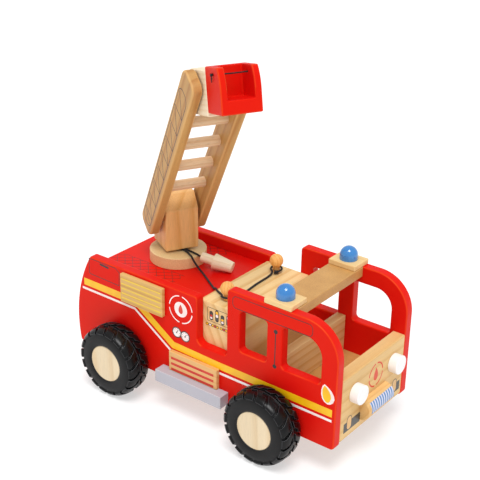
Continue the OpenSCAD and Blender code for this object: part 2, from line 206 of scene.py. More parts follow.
def startMaterial(name, **surface):
    material = bpy.data.materials.new(name)
    material.use_nodes = True
    tree = material.node_tree
    tree.nodes.clear()
    shader = addNode(tree, "ShaderNodeBsdfPrincipled")
    for key, value in surface.items():
        shader.inputs[key.replace("_", " ")].default_value = value
    addNode(tree, "ShaderNodeOutputMaterial", {"Surface": shader.outputs[0]})
    where = addNode(tree, "ShaderNodeTexCoord").outputs["Object"]
    return material, tree, shader, where


def wireUp(tree, shader, colour, rough, relief, strength, depth):  # colour, gloss and bumps go to the shader
    tree.links.new(colour, shader.inputs["Base Color"])
    tree.links.new(rough.outputs[0], shader.inputs["Roughness"])
    bump = addNode(tree, "ShaderNodeBump", {"Height": relief, "Strength": strength, "Distance": depth})
    tree.links.new(bump.outputs[0], shader.inputs["Normal"])


# Sprayed enamel: an even coat with a soft gloss, faint clouds where the coat is thicker,
# the slight orange peel of a spray gun, and a painted highlight: rounded edges turn a lighter colour.
def enamel(name, coat, cloud, paintedHighlight, roughness, coatWeight=0.25, tint=(1, 1, 1, 1), index=1.5):
    material, tree, shader, where = startMaterial(
        name, IOR=index, Coat_Weight=coatWeight, Coat_Roughness=0.12, Specular_Tint=tint)
    clouds = addNode(tree, "ShaderNodeTexNoise",
        {"Vector": where, "Scale": 1 / 0.05, "Detail": 3.0, "Roughness": 0.6})
    peel = addNode(tree, "ShaderNodeTexNoise", {"Vector": where, "Scale": 1 / 0.0022, "Detail": 2.0})  # 2 mm ripples
    dust = addNode(tree, "ShaderNodeTexNoise", {"Vector": where, "Scale": 1 / 0.0007, "Detail": 1.0})
    base = addNode(tree, "ShaderNodeValToRGB", {"Fac": clouds.outputs["Fac"]},
                   stops=[(0.35, linear(coat)), (0.7, linear(cloud))])
    # painted highlight: rounded edges are mixed toward the lighter third colour, patchy with the clouds
    edge = addNode(tree, "ShaderNodeAttribute", attribute_name="paintedEdgeHighlight")
    highlightMask = addNode(tree, "ShaderNodeMath", {0: edge.outputs["Fac"], 1: clouds.outputs["Fac"]}, operation="MULTIPLY")
    colour = addNode(tree, "ShaderNodeMix", {0: highlightMask.outputs[0], 6: base.outputs[0], 7: linear(paintedHighlight)},
        data_type="RGBA")
    shine = addNode(tree, "ShaderNodeMapRange", {"Value": clouds.outputs["Fac"], "From Min": 0.3, "From Max": 0.7,
                                                 "To Min": roughness - 0.05, "To Max": roughness + 0.07})
    height = addNode(tree, "ShaderNodeMath", {0: dust.outputs["Fac"], 1: 0.25, 2: peel.outputs["Fac"]},
        operation="MULTIPLY_ADD")
    wireUp(tree, shader, colour.outputs[2], shine, height.outputs[0], 0.35, 0.00005)
    return material


# Planed and lacquered softwood or turned beech: yearly rings that show as lines along the grain and
# as arcs at the ends, fine fibre streaks, flecks, and a clear satin lacquer.
def wood(name, look, grain, across, heart):
    material, tree, shader, where = startMaterial(
        name, IOR=1.42, Specular_IOR_Level=0.4, Coat_Weight=look.get("lacquer", 0.04), Coat_Roughness=0.3)
    along = Vector(grain).normalized()
    side = (Vector(across) - along * along.dot(Vector(across))).normalized()
    turn = Matrix((along, side, along.cross(side)))
    lean = Matrix.Rotation(math.radians(look.get("lean", 1.5)), 3, "Y")  # the board isn't sawn quite along the trunk
    turn = lean @ turn
    shift = -(turn @ (Vector(heart) * mm))
    board = addNode(tree, "ShaderNodeMapping", {"Vector": where, "Rotation": turn.to_euler(), "Location": shift})
    trunk = addNode(tree, "ShaderNodeVectorMath", {0: board.outputs[0], 1: (0.12, 1, 1)}, operation="MULTIPLY")
    rings = addNode(tree, "ShaderNodeTexWave", {
        "Vector": trunk.outputs[0], "Scale": 0.314 / (look["ring"] * mm), "Distortion": look.get("wobble", 2.5),
        "Detail": 2.0, "Detail Scale": 0.35}, wave_type="RINGS", rings_direction="X", wave_profile="SAW")
    fibres = addNode(tree, "ShaderNodeVectorMath", {0: board.outputs[0], 1: (0.05, 1, 1)}, operation="MULTIPLY")
    streak = addNode(tree, "ShaderNodeTexNoise", {"Vector": fibres.outputs[0], "Scale": 1 / 0.0011, "Detail": 3.0})
    patch = addNode(tree, "ShaderNodeTexNoise", {"Vector": trunk.outputs[0], "Scale": 1 / 0.03, "Detail": 2.0})
    fleckRoom = addNode(tree, "ShaderNodeVectorMath", {0: board.outputs[0], 1: (0.16, 1, 1)}, operation="MULTIPLY")
    fleck = addNode(tree, "ShaderNodeTexNoise", {"Vector": fleckRoom.outputs[0], "Scale": 1 / 0.0009, "Detail": 0.0})
    light, dark = linear(look["early"]), linear(look["late"])
    ringTone = addNode(tree, "ShaderNodeValToRGB", {"Fac": rings.outputs["Fac"]},
                       stops=[(0.0, light), (1.0, light), (0.45, light), (0.86, dark)])
    broad = addNode(tree, "ShaderNodeMapRange", {"Value": patch.outputs["Fac"], "From Min": 0.35, "From Max": 0.65,
                                                 "To Min": 1 - look.get("patch", 0.08),
                                                 "To Max": 1 + look.get("patch", 0.08)})
    fine = addNode(tree, "ShaderNodeMapRange", {"Value": streak.outputs["Fac"], "From Min": 0.3, "From Max": 0.7,
                                                "To Min": 1 - look.get("streak", 0.08),
                                                "To Max": 1 + look.get("streak", 0.08)})
    pores = addNode(tree, "ShaderNodeMapRange", {"Value": fleck.outputs["Fac"], "From Min": 0.62, "From Max": 0.7,
                                                 "To Min": 1.0, "To Max": 1 - look.get("fleck", 0.08)})
    both = addNode(tree, "ShaderNodeMath", {0: broad.outputs[0], 1: fine.outputs[0]}, operation="MULTIPLY")
    all3 = addNode(tree, "ShaderNodeMath", {0: both.outputs[0], 1: pores.outputs[0]}, operation="MULTIPLY")
    tone = addNode(tree, "ShaderNodeVectorMath", {0: ringTone.outputs[0], "Scale": all3.outputs[0]},
        operation="SCALE")
    # painted highlight: rounded edges are mixed toward the lighter edge colour by the rim amount
    edge = addNode(tree, "ShaderNodeAttribute", attribute_name="paintedEdgeHighlight")
    rim = addNode(tree, "ShaderNodeMath", {0: edge.outputs["Fac"], 1: look.get("rim", 0.25)}, operation="MULTIPLY")
    colour = addNode(tree, "ShaderNodeMix",
        {0: rim.outputs[0], 6: tone.outputs[0], 7: linear(look.get("edge", look["early"]))},
                     data_type="RGBA")
    satin = addNode(tree, "ShaderNodeMapRange", {"Value": streak.outputs["Fac"], "To Min": 0.42, "To Max": 0.62})
    relief = addNode(tree, "ShaderNodeMath", {0: rings.outputs["Fac"], 1: 0.4, 2: streak.outputs["Fac"]},
        operation="MULTIPLY_ADD")
    wireUp(tree, shader, colour.outputs[2], satin, relief.outputs[0], 0.3, 0.00006)
    return material


# Sawn fibre board under clear lacquer: no grain, only short pressed fibres and darker specks.
def fibreBoard(name, light, dark, speck, roughness=0.5):
    material, tree, shader, where = startMaterial(name, IOR=1.5, Coat_Weight=0.12, Coat_Roughness=0.35)
    felt = addNode(tree, "ShaderNodeTexNoise",
        {"Vector": where, "Scale": 1 / 0.0016, "Detail": 4.0, "Roughness": 0.75})
    wide = addNode(tree, "ShaderNodeTexNoise", {"Vector": where, "Scale": 1 / 0.022, "Detail": 2.0})
    specks = addNode(tree, "ShaderNodeTexVoronoi", {"Vector": where, "Scale": 1 / 0.0018})
    mixed = addNode(tree, "ShaderNodeMath", {0: wide.outputs["Fac"], 1: 0.5, 2: felt.outputs["Fac"]},
        operation="MULTIPLY_ADD")
    base = addNode(tree, "ShaderNodeValToRGB", {"Fac": mixed.outputs[0]},
        stops=[(0.5, linear(dark)), (0.95, linear(light))])
    dots = addNode(tree, "ShaderNodeMapRange",
        {"Value": specks.outputs["Distance"], "From Min": 0.1, "From Max": 0.22,
                                                "To Min": 0.45, "To Max": 0.0})
    colour = addNode(tree, "ShaderNodeMix", {0: dots.outputs[0], 6: base.outputs[0], 7: linear(speck)},
        data_type="RGBA")
    rough = addNode(tree, "ShaderNodeMapRange",
        {"Value": felt.outputs["Fac"], "To Min": roughness - 0.1, "To Max": roughness + 0.15})
    wireUp(tree, shader, colour.outputs[2], rough, felt.outputs["Fac"], 0.4, 0.00008)
    return material


# Screen-printed ink: flat and thin, with the mesh of the screen just showing as tone.
def printedInk(name, shade, thin, roughness=0.42):
    material, tree, shader, where = startMaterial(name, IOR=1.5, Coat_Weight=0.1, Coat_Roughness=0.25)
    mesh = addNode(tree, "ShaderNodeTexNoise", {"Vector": where, "Scale": 1 / 0.0006, "Detail": 2.0})
    cover = addNode(tree, "ShaderNodeTexNoise", {"Vector": where, "Scale": 1 / 0.012, "Detail": 3.0})
    total = addNode(tree, "ShaderNodeMath", {0: mesh.outputs["Fac"], 1: cover.outputs["Fac"]}, operation="MULTIPLY")
    base = addNode(tree, "ShaderNodeValToRGB", {"Fac": total.outputs[0]},
        stops=[(0.18, linear(thin)), (0.3, linear(shade))])
    rough = addNode(tree, "ShaderNodeMapRange",
        {"Value": cover.outputs["Fac"], "To Min": roughness - 0.06, "To Max": roughness + 0.08})
    wireUp(tree, shader, base.outputs[0], rough, mesh.outputs["Fac"], 0.15, 0.00002)
    return material


# Moulded soft PVC: nearly black, matt from the spark-eroded mould, with a slight bloom of paler dust.
def mouldedVinyl(name, shade, bloom, roughness):
    material, tree, shader, where = startMaterial(name, IOR=1.38, Specular_IOR_Level=0.4)
    grain = addNode(tree, "ShaderNodeTexNoise", {"Vector": where, "Scale": 1 / 0.0008, "Detail": 3.0})
    film = addNode(tree, "ShaderNodeTexNoise", {"Vector": where, "Scale": 1 / 0.02, "Detail": 4.0})
    base = addNode(tree, "ShaderNodeValToRGB", {"Fac": film.outputs["Fac"]},
        stops=[(0.4, linear(shade)), (0.72, linear(bloom))])
    # painted highlight: rounded lug edges are mixed toward a pale grey
    edge = addNode(tree, "ShaderNodeAttribute", attribute_name="paintedEdgeHighlight")
    highlightMask = addNode(tree, "ShaderNodeMath", {0: edge.outputs["Fac"], 1: 0.35}, operation="MULTIPLY")
    colour = addNode(tree, "ShaderNodeMix", {0: highlightMask.outputs[0], 6: base.outputs[0], 7: linear("#75757b")},
        data_type="RGBA")
    rough = addNode(tree, "ShaderNodeMapRange",
        {"Value": film.outputs["Fac"], "To Min": roughness - 0.08, "To Max": roughness + 0.1})
    wireUp(tree, shader, colour.outputs[2], rough, grain.outputs["Fac"], 0.35, 0.00006)
    return material


# Round braided cord: strands cross in a herringbone that follows the cord's own length and girth.
def braidedCord(name, length, strands, pitch, shade, shine):
    material, tree, shader, where = startMaterial(name, IOR=1.5, Sheen_Weight=0.08, Sheen_Roughness=0.5)
    own = addNode(tree, "ShaderNodeUVMap", uv_map="UVMap")
    parts = addNode(tree, "ShaderNodeSeparateXYZ", {0: own.outputs[0]})
    girth = addNode(tree, "ShaderNodeMath", {0: parts.outputs[0], 1: strands * 2 * math.pi}, operation="MULTIPLY")
    run = addNode(tree, "ShaderNodeMath", {0: parts.outputs[1], 1: length / pitch * 2 * math.pi},
        operation="MULTIPLY")
    one = addNode(tree, "ShaderNodeMath", {0: run.outputs[0], 1: girth.outputs[0]}, operation="ADD")
    other = addNode(tree, "ShaderNodeMath", {0: run.outputs[0], 1: girth.outputs[0]}, operation="SUBTRACT")
    up = addNode(tree, "ShaderNodeMath", {0: one.outputs[0]}, operation="SINE")
    down = addNode(tree, "ShaderNodeMath", {0: other.outputs[0]}, operation="SINE")
    weave = addNode(tree, "ShaderNodeMath", {0: up.outputs[0], 1: down.outputs[0]}, operation="MULTIPLY")
    fuzz = addNode(tree, "ShaderNodeTexNoise", {"Vector": where, "Scale": 1 / 0.0005, "Detail": 2.0})
    level = addNode(tree, "ShaderNodeMath", {0: fuzz.outputs["Fac"], 1: 0.6, 2: weave.outputs[0]},
        operation="MULTIPLY_ADD")
    base = addNode(tree, "ShaderNodeValToRGB", {"Fac": level.outputs[0]},
        stops=[(0.1, linear(shade)), (0.9, linear(shine))])
    rough = addNode(tree, "ShaderNodeMapRange", {"Value": fuzz.outputs["Fac"], "To Min": 0.6, "To Max": 0.9})
    wireUp(tree, shader, base.outputs[0], rough, level.outputs[0], 0.6, 0.00012)
    return material


# Bright drawn steel: fine draw lines along the rod, a hard even shine.
def drawnSteel(name):
    material, tree, shader, where = startMaterial(name, Metallic=1.0)
    squeezed = addNode(tree, "ShaderNodeVectorMath", {0: where, 1: (1, 0.03, 1)}, operation="MULTIPLY")
    lines = addNode(tree, "ShaderNodeTexNoise", {"Vector": squeezed.outputs[0], "Scale": 1 / 0.0004, "Detail": 2.0})
    base = addNode(tree, "ShaderNodeValToRGB", {"Fac": lines.outputs["Fac"]},
        stops=[(0.3, linear("#b4b4b2")), (0.7, linear("#d2d2d0"))])
    tree.links.new(base.outputs[0], shader.inputs["Base Color"])
    rough = addNode(tree, "ShaderNodeMapRange", {"Value": lines.outputs["Fac"], "To Min": 0.2, "To Max": 0.4})
    tree.links.new(rough.outputs[0], shader.inputs["Roughness"])
    return material


# The ladder's and the basket's own directions
joint = {j["name"]: j for j in frame["joints"]}
turretSide = Vector(joint["basket_tilt"]["axis"]).normalized()
turretAhead = turretSide.cross(Vector((0, 0, 1))).normalized()
ladderFoot = Vector(joint["ladder_raise"]["pos_m"])
basketPivot = Vector(joint["basket_tilt"]["pos_m"])
towards = basketPivot - ladderFoot
ladderAlong = (towards - turretSide * towards.dot(turretSide)).normalized()
ladderUp = ladderAlong.cross(turretSide)
basketTurn = math.radians(12)
basketAlong = turretAhead * math.cos(basketTurn) + Vector((0, 0, 1)) * math.sin(basketTurn)
basketUp = -turretAhead * math.sin(basketTurn) + Vector((0, 0, 1)) * math.cos(basketTurn)
ladderMm, basketMm = ladderFoot / mm, basketPivot / mm

hose = {
    "diameter": 2.4,
    "braid": (342, 4, 4),  # length, strands and one turn of the braid
    "knot": (18, 39.1, 150),
    "knotCord": 2.3,
    "points": [
        (19, 39.4, 150), (20, 43.3, 150.6), (19.8, 47.7, 151), (17.2, 51.2, 151.2), (12.8, 52.2, 151.2),
        (8.6, 49.9, 151),
        (7.2, 45.6, 150.8), (8.9, 41.5, 150.4), (12.9, 38.6, 150), (15.2, 34.6, 149.4), (16.2, 28, 148.6),
        (16.6, 14, 148.4),
        (17.2, 0, 148.4), (18.8, -16, 148.4), (20, -30, 149.4), (20.8, -40, 151.2), (20.9, -46, 152.2),
        (19.2, -50.6, 152.5),
        (14.6, -52.4, 152.4), (9.6, -51, 151.7), (6, -46.5, 150.6), (0, -42.2, 149.4), (-6, -38.8, 148.6),
        (-12.4, -35, 148.4),
        (-15.5, -32.6, 146.3), (-18.5, -29.8, 143.9), (-24, -25.4, 142.8), (-34, -19, 142.8), (-48, -10, 142.8),
        (-57, -4.8, 143.2), (-64, -3.8, 147), (-71, -3.8, 154), (-74, -3, 157), (-78.5, -0.6, 157.1),
        (-84, 2.4, 157.1),
        (-90.5, 5, 157.1), (-96, 5.6, 157.1), (-102.5, 3.9, 157.1), (-107.8, 3.2, 157.1), (-112.1, 6.5, 157.1),
        (-112.8, 11.8, 157.1), (-109.5, 16.1, 157.1), (-104.2, 16.8, 157.1), (-100.3, 14, 157.1),
        (-97.6, 11.3, 157.1),
        (-94.3, 9.4, 157.1), (-89, 8.4, 157.1), (-82, 7.6, 157.1), (-76.5, 6.8, 157.1), (-72.6, 6, 157.1),
        (-70, 5.9, 156.4), (-67.2, 6.8, 155.8)],
}
braidLength, braidStrands, braidPitch = hose["braid"]
blackCord = braidedCord("blackPolyesterCordBraided", braidLength * mm, braidStrands, braidPitch * mm, "#040405",
    "#151517")


def splineLine(obj, steps=5):  # the points that a smooth curve runs through, in metres
    run = obj.data.splines[0].bezier_points
    line = []
    for a, b in zip(run, list(run)[1:]):
        p0, p1, p2, p3 = a.co, a.handle_right, b.handle_left, b.co
        for i in range(steps):
            t = i / steps
            line.append((1 - t) ** 3 * p0 + 3 * t * (1 - t) ** 2 * p1 + 3 * t * t * (1 - t) * p2 + t ** 3 * p3)
    return line + [run[-1].co.copy()]


def makeHose():
    tube = curveThrough("hoseCord", hose["points"], hose["diameter"], sides=3)
    bpy.context.view_layer.update()
    line = [Vector(p) for p in splineLine(tube)]
    length = sum((b - a).length for a, b in zip(line, line[1:]))
    tube = asMesh(tube)
    outwards(tube)
    smooth(tube)
    finishPiece(tube, "body", blackCord, "cord", "hose")
    middle = Vector(hose["knot"])
    turns = []
    for i in range(24):  # a tight overhand knot
        t = 2 * math.pi * i / 24
        turns.append(middle + 1.15 * Vector((
            (math.sin(t) + 1.5 * math.sin(2 * t)) * 0.75,
            (math.cos(t) - 1.5 * math.cos(2 * t)) * 0.75,
            -math.sin(3 * t) * 0.9)))
    knot = asMesh(curveThrough("hoseKnot", turns, hose["knotCord"], closed=True, sides=3))
    outwards(knot)
    smooth(knot)
    finishPiece(knot, "body", blackCord, "cord", "hose_knot")
    print("hose made, mm:", round(length * 1000, 1))
    return tube, knot, line, length


hoseTube, hoseKnot, hoseLine, hoseLength = makeHose()


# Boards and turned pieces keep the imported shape, and their edges are rounded
def softened(name, node, width, material, slotName, rounds=3, sharpest=35, merge=0.01, leave=None, cuts=()):
    source = frame["nodes"][node]
    piece = bpy.data.objects.new(name, source.data.copy())
    bpy.context.scene.collection.objects.link(piece)
    edit(piece, "VERT")
    bpy.ops.mesh.customdata_custom_splitnormals_clear()
    bpy.ops.mesh.select_all(action="SELECT")
    bpy.ops.mesh.remove_doubles(threshold=merge * mm)
    bpy.ops.mesh.select_mode(type="FACE")
    bpy.ops.mesh.select_all(action="SELECT")
    bpy.ops.mesh.dissolve_limited(angle_limit=math.radians(0.4))
    for x in cuts:  # a flat side is split through each of its openings, so no face runs round a hole
        bpy.ops.mesh.select_all(action="SELECT")
        bpy.ops.mesh.bisect(plane_co=(x * mm, 0, 0), plane_no=(1, 0, 0))
    bpy.ops.mesh.faces_shade_smooth()
    done()
    piece.data.materials.clear()
    piece.data.materials.append(material)
    piece.data.materials.append(None)
    chooseEdges(piece, sharpest, leave)
    applyModifier(piece, "BEVEL", width=width * mm, segments=rounds, limit_method="WEIGHT",
                  use_clamp_overlap=False, material=1)
    # the rounded outer edges are marked for the painted highlight of the materials
    markEdges(piece)
    applyModifier(piece, "WEIGHTED_NORMAL", mode="FACE_AREA", weight=60, keep_sharp=True)
    return finishPiece(piece, source["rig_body"], material, slotName, node)


def chooseEdges(piece, sharpest, leave):  # the corners that are rounded, all but those at the places left sharp
    mesh = piece.data
    sides = {}
    for face in mesh.polygons:
        for key in face.edge_keys:
            sides.setdefault(key, []).append(face.normal)
    limit = math.cos(math.radians(sharpest))
    weight = mesh.attributes.new("bevel_weight_edge", "FLOAT", "EDGE")
    for edge in mesh.edges:
        pair = sides.get(edge.key, [])
        middle = (mesh.vertices[edge.vertices[0]].co + mesh.vertices[edge.vertices[1]].co) / 2
        if len(pair) == 2 and pair[0].dot(pair[1]) < limit and not (leave and leave(middle / mm)):
            weight.data[edge.index].value = 1.0


def markEdges(piece):  # how much each point belongs to a rounded outer edge, for the painted highlight there
    mesh = piece.data
    meeting = {}
    for face in mesh.polygons:
        for key in face.edge_keys:
            meeting.setdefault(key, []).append(face)
    count, edgeCount = [0] * len(mesh.vertices), [0] * len(mesh.vertices)
    for face in mesh.polygons:
        around = [other for key in face.edge_keys for other in meeting[key] if other.index != face.index]
        lean = sum((other.center - face.center).dot(face.normal) for other in around)
        paintedHighlight = face.material_index == 1 and lean < 0  # an inner corner leans the other way and gets no painted highlight
        for v in face.vertices:
            count[v] += 1
            edgeCount[v] += paintedHighlight
    for face in mesh.polygons:
        face.material_index = 0
    highlightLevel = mesh.attributes.new("paintedEdgeHighlight", "FLOAT", "POINT")
    highlightLevel.data.foreach_set("value", [1.0 if e and e == c else 0.0 for e, c in zip(edgeCount, count)])


# the third colour of each enamel is the painted highlight on its rounded edges
redPaint = enamel("redEnamelOnFibreBoard", "#da0c0c", "#dd140b", "#e24a22", 0.42, coatWeight=0.0,
    tint=(1, 0.8, 0.25, 1), index=1.27)
greyPaint = enamel("greyEnamelOnPine", "#b1afb9", "#b9b6bd", "#c9c5c6", 0.4, coatWeight=0.05)
whitePaint = enamel("whiteEnamelOnBeech", "#f0efee", "#f6f5f4", "#fafafa", 0.3)
bluePaint = enamel("blueGlossOnTurnedBeech", "#2878be", "#2f80c6", "#5a9ad6", 0.14, coatWeight=0.8)

pine = {"early": "#e9c98f", "late": "#dbaf6d", "ring": 9, "wobble": 3.0, "streak": 0.05, "fleck": 0.05, "patch": 0.05}
warmPine = {"early": "#e8b676", "late": "#dca25c", "ring": 9, "wobble": 3.0, "streak": 0.06, "fleck": 0.05}
palePine = {"early": "#f3e1c2", "late": "#ebd4ae", "ring": 5, "wobble": 2.4, "streak": 0.04, "fleck": 0.04,
    "patch": 0.04}
# the rails' edge colour and rim amount are a painted highlight on their rounded edges
railPine = {"early": "#c69759", "late": "#b67f43", "ring": 13, "wobble": 3.4, "streak": 0.05, "edge": "#e8bb7c",
    "rim": 0.45}
beech = {"early": "#e6c6a0", "late": "#dcb48a", "ring": 4, "wobble": 2.0, "streak": 0.05, "fleck": 0.1, "patch": 0.04}
amberBeech = {"early": "#f0b366", "late": "#e2a04e", "ring": 3.4, "wobble": 2.0, "streak": 0.05, "fleck": 0.16}

longways, crossways, upright = (1, 0, 0), (0, 1, 0), (0, 0, 1)
bareBoard = fibreBoard("fibreBoardSawnLacquered", "#ce9e5c", "#b38245", "#7c5628")
discBoard = fibreBoard("fibreBoardTurnedLacquered", "#ecd09a", "#d8b67e", "#946c3e")

windowMiddles = (71, 131)
axleMiddles = tuple(joint[name]["pos_m"][0] / mm for name in ("front_axle_roll", "rear_axle_roll"))

for sideName in ("right", "left"):
    softened("sidePlate_" + sideName, "side_plate_" + sideName, 1.6, redPaint, "red_board",
        cuts=windowMiddles + axleMiddles)
    softened("step_" + sideName, "step_" + sideName, 0.8, greyPaint, "grey_step")
    flip = -1 if sideName == "right" else 1
    softened("ventPlate_" + sideName, "vent_plate_" + sideName, 0.9,
             wood("pineVent_" + sideName, dict(pine, early="#e3b274", late="#d9a262", ring=7), longways, upright,
             (0, flip * 60, 95)), "pine")
    softened("lockerFront_" + sideName, "locker_front_" + sideName, 1.1,
             wood("pineLocker_" + sideName, dict(pine, early="#d9ae6a", late="#cc9a4f", ring=8), longways, upright,
             (0, flip * 50, 190)), "pine")
    softened("pegTurned_" + sideName, "peg_" + sideName, 0.2,
             wood("beechPeg_" + sideName, amberBeech, upright, crossways, (13 + 12 * flip, flip * 60, 0)), "beech",
             merge=0.001)
softened("floorBoard", "floor_board", 0.8, bareBoard, "mdf")
softened("rearPanel", "rear_panel", 1.2, redPaint, "red_board")
softened("deckBoard", "deck_board", 0.8, redPaint, "red_board")
softened("engineBlock", "engine_block", 1.4,
    wood("pineBlockPlaned", dict(pine, ring=11), crossways, upright, (-90, 0, 60)), "pine")
softened("frontPanel", "front_panel", 1.6,
    wood("pineNosePlaned", dict(pine, ring=12, lean=2.5, early="#e0bb80", late="#d6aa6a"), crossways, upright,
    (150, 0, 190)), "pine")
softened("grilleBar", "grille_bar", 0.7,
    wood("pineHalfRound", dict(warmPine, early="#eabd7c", late="#e0ae6a"), crossways, upright, (150, 0, 80)), "pine")
softened("headlightCaps", "headlights", 0.9, whitePaint, "white_lamp")
softened("roofBeam", "roof_beam", 1.0, bareBoard, "mdf")
softened("roofPads", "roof_pads", 1.0,
    wood("pinePadsPlaned", dict(pine, early="#e8c68c", late="#e2bc80", ring=16), longways, crossways, (0, 0, 120)),
    "pine")
softened("beaconDomes", "beacons", 0.1, bluePaint, "blue_lamp", merge=0.001, sharpest=60)
softened("seatBack", "seat_back", 1.0, wood("pineSeatPlaned", pine, crossways, upright, (130, 0, 40)), "pine")
softened("turretDisc", "turret_disc", 0.8, discBoard, "mdf")
softened("turretBlock", "turret_block", 1.3,
    wood("pineTurretPlaned", dict(warmPine, ring=12, lean=3), upright, turretSide, (-190, -30, 0)), "pine")


def onRailBore(p):  # the holes for rungs and pins stay sharp
    away = p - ladderMm
    return abs(away.dot(ladderUp)) < 9 and -15 < away.dot(ladderAlong) < 224


for sideName in ("right", "left"):
    flip = -1 if sideName == "right" else 1
    softened("ladderRail_" + sideName, "ladder_rail_" + sideName, 2.4,
             wood("pineRail_" + sideName, railPine, ladderAlong, turretSide,
             ladderMm - ladderUp * 55 + turretSide * flip * 10),
             "pine", leave=onRailBore)
softened("rungDowels", "rungs", 0.2, wood("beechDowels", beech, turretSide, ladderAlong, ladderMm - ladderUp * 30),
    "beech")
softened("basketCarrier", "basket_carrier", 1.6,
         wood("pinePaleCarrier", palePine, basketAlong, turretSide, basketMm - basketUp * 60), "pale_wood")
softened("basketBox", "basket", 1.6, redPaint, "red_board")
nozzleAlong = Vector((math.cos(math.radians(17.8)), math.sin(math.radians(17.8)), -0.19))
nozzle = softened("nozzleTurned", "nozzle", 0.5,
    wood("pinePaleNozzle", palePine, nozzleAlong, crossways, (-60, 0, 130)), "pale_wood")
steel = drawnSteel("steelRodDrawn")
for node in ("front_axle", "rear_axle"):
    softened(node + "Rod", node, 0.3, steel, "steel")
for node, heart in (("front_hubs", (60, 0, 20)), ("rear_hubs", (-150, 0, 10))):
    softened(node + "Discs", node, 1.0,
        wood("pineHub_" + node, dict(palePine, ring=7, early="#e4d0ae", late="#dcc39c"), upright, longways, heart),
        "pale_wood")
beechPin = wood("beechPins", beech, turretSide, upright, (-100, 0, 180))
for node in ("turret_pin", "ladder_pin", "basket_pin"):
    softened(node + "Peg", node, 0.3, beechPin, "beech")
print("boards and turned pieces made")

elastic = {"x": 56.6, "z": 28.1, "halfWidth": 22.2, "thickness": 1.5, "tail": 7.5}


def basketPoint(x, y, z):
    return basketMm + basketAlong * x + turretSide * y + basketUp * z


def makeElastic():
    e = elastic
    w = e["halfWidth"]
    parts = [curveThrough("band", [basketPoint(e["x"], y, e["z"] - 0.6 * (1 - (y / w) ** 2)) for y in
                                   (-w - 1, -w, -15, -7, 0, 7, 15, w, w + 1)], e["thickness"], sides=2)]
    for flip in (-1, 1):
        centre = Vector((e["x"], flip * (w + 1.6), e["z"]))
        loop = [basketPoint(*(centre + 0.5 * Vector((math.sin(t) + 1.5 * math.sin(2 * t), flip * math.sin(3 * t),
                                                       math.cos(t) - 1.5 * math.cos(2 * t)))))
                for t in (2 * math.pi * i / 20 for i in range(20))]
        parts.append(curveThrough("knot", loop, 1.2, closed=True, sides=2))
        for lean, drop in ((-0.7, e["tail"]), (0.9, e["tail"] - 3)):
            parts.append(curveThrough("tail",
                [basketPoint(e["x"] + lean * k, flip * (w + 1.3 + 0.4 * math.sin(k * 3)), e["z"] - drop * k)
                                               for k in (0, 0.35, 0.7, 1)], 1.0, sides=2))
    whole = joined([asMesh(p) for p in parts], "basketElastic")
    outwards(whole)
    smooth(whole)
    return finishPiece(whole, "basket", braidedCord("blackElasticBraided", 0.05, 3, 0.003, "#050506", "#1a1a1c"),
                       "elastic", "basket_elastic")


makeElastic()
print("elastic made")

# One tyre is modelled and copied four times
tyre = {
    "profile": [  # distance from the axle, distance from the tyre's middle
        (22.6, 15.0), (23.6, 15.9), (26, 16.3), (30, 16.3), (34, 15.9), (36.6, 14.9), (38.5, 13.2), (39.7, 11.0),
        (40.3, 8.6),
        (40.6, 6.2), (40.8, 3.8), (40.9, 1.6), (41.0, 0.5)],
    "middle": 93.35,
    "columns": 72,
    "slant": 13,  # degrees that a lug leans from the middle to the shoulder
    "lugDepth": 2.6,
    "ridgeHeight": 1.3,
    "lugsFrom": 37.2,  # distances from the axle at which the lugs, their lean and the polished tread begin
    "leansFrom": 36,
    "treadFrom": 38.5,
    "outer": 43.6,
    "halfWidth": 16.32,
}
tyreVinyl = mouldedVinyl("softVinylMoulded", "#070708", "#0f0f11", 0.4)
treadVinyl = mouldedVinyl("softVinylMouldedPolished", "#060607", "#0c0c0e", 0.27)


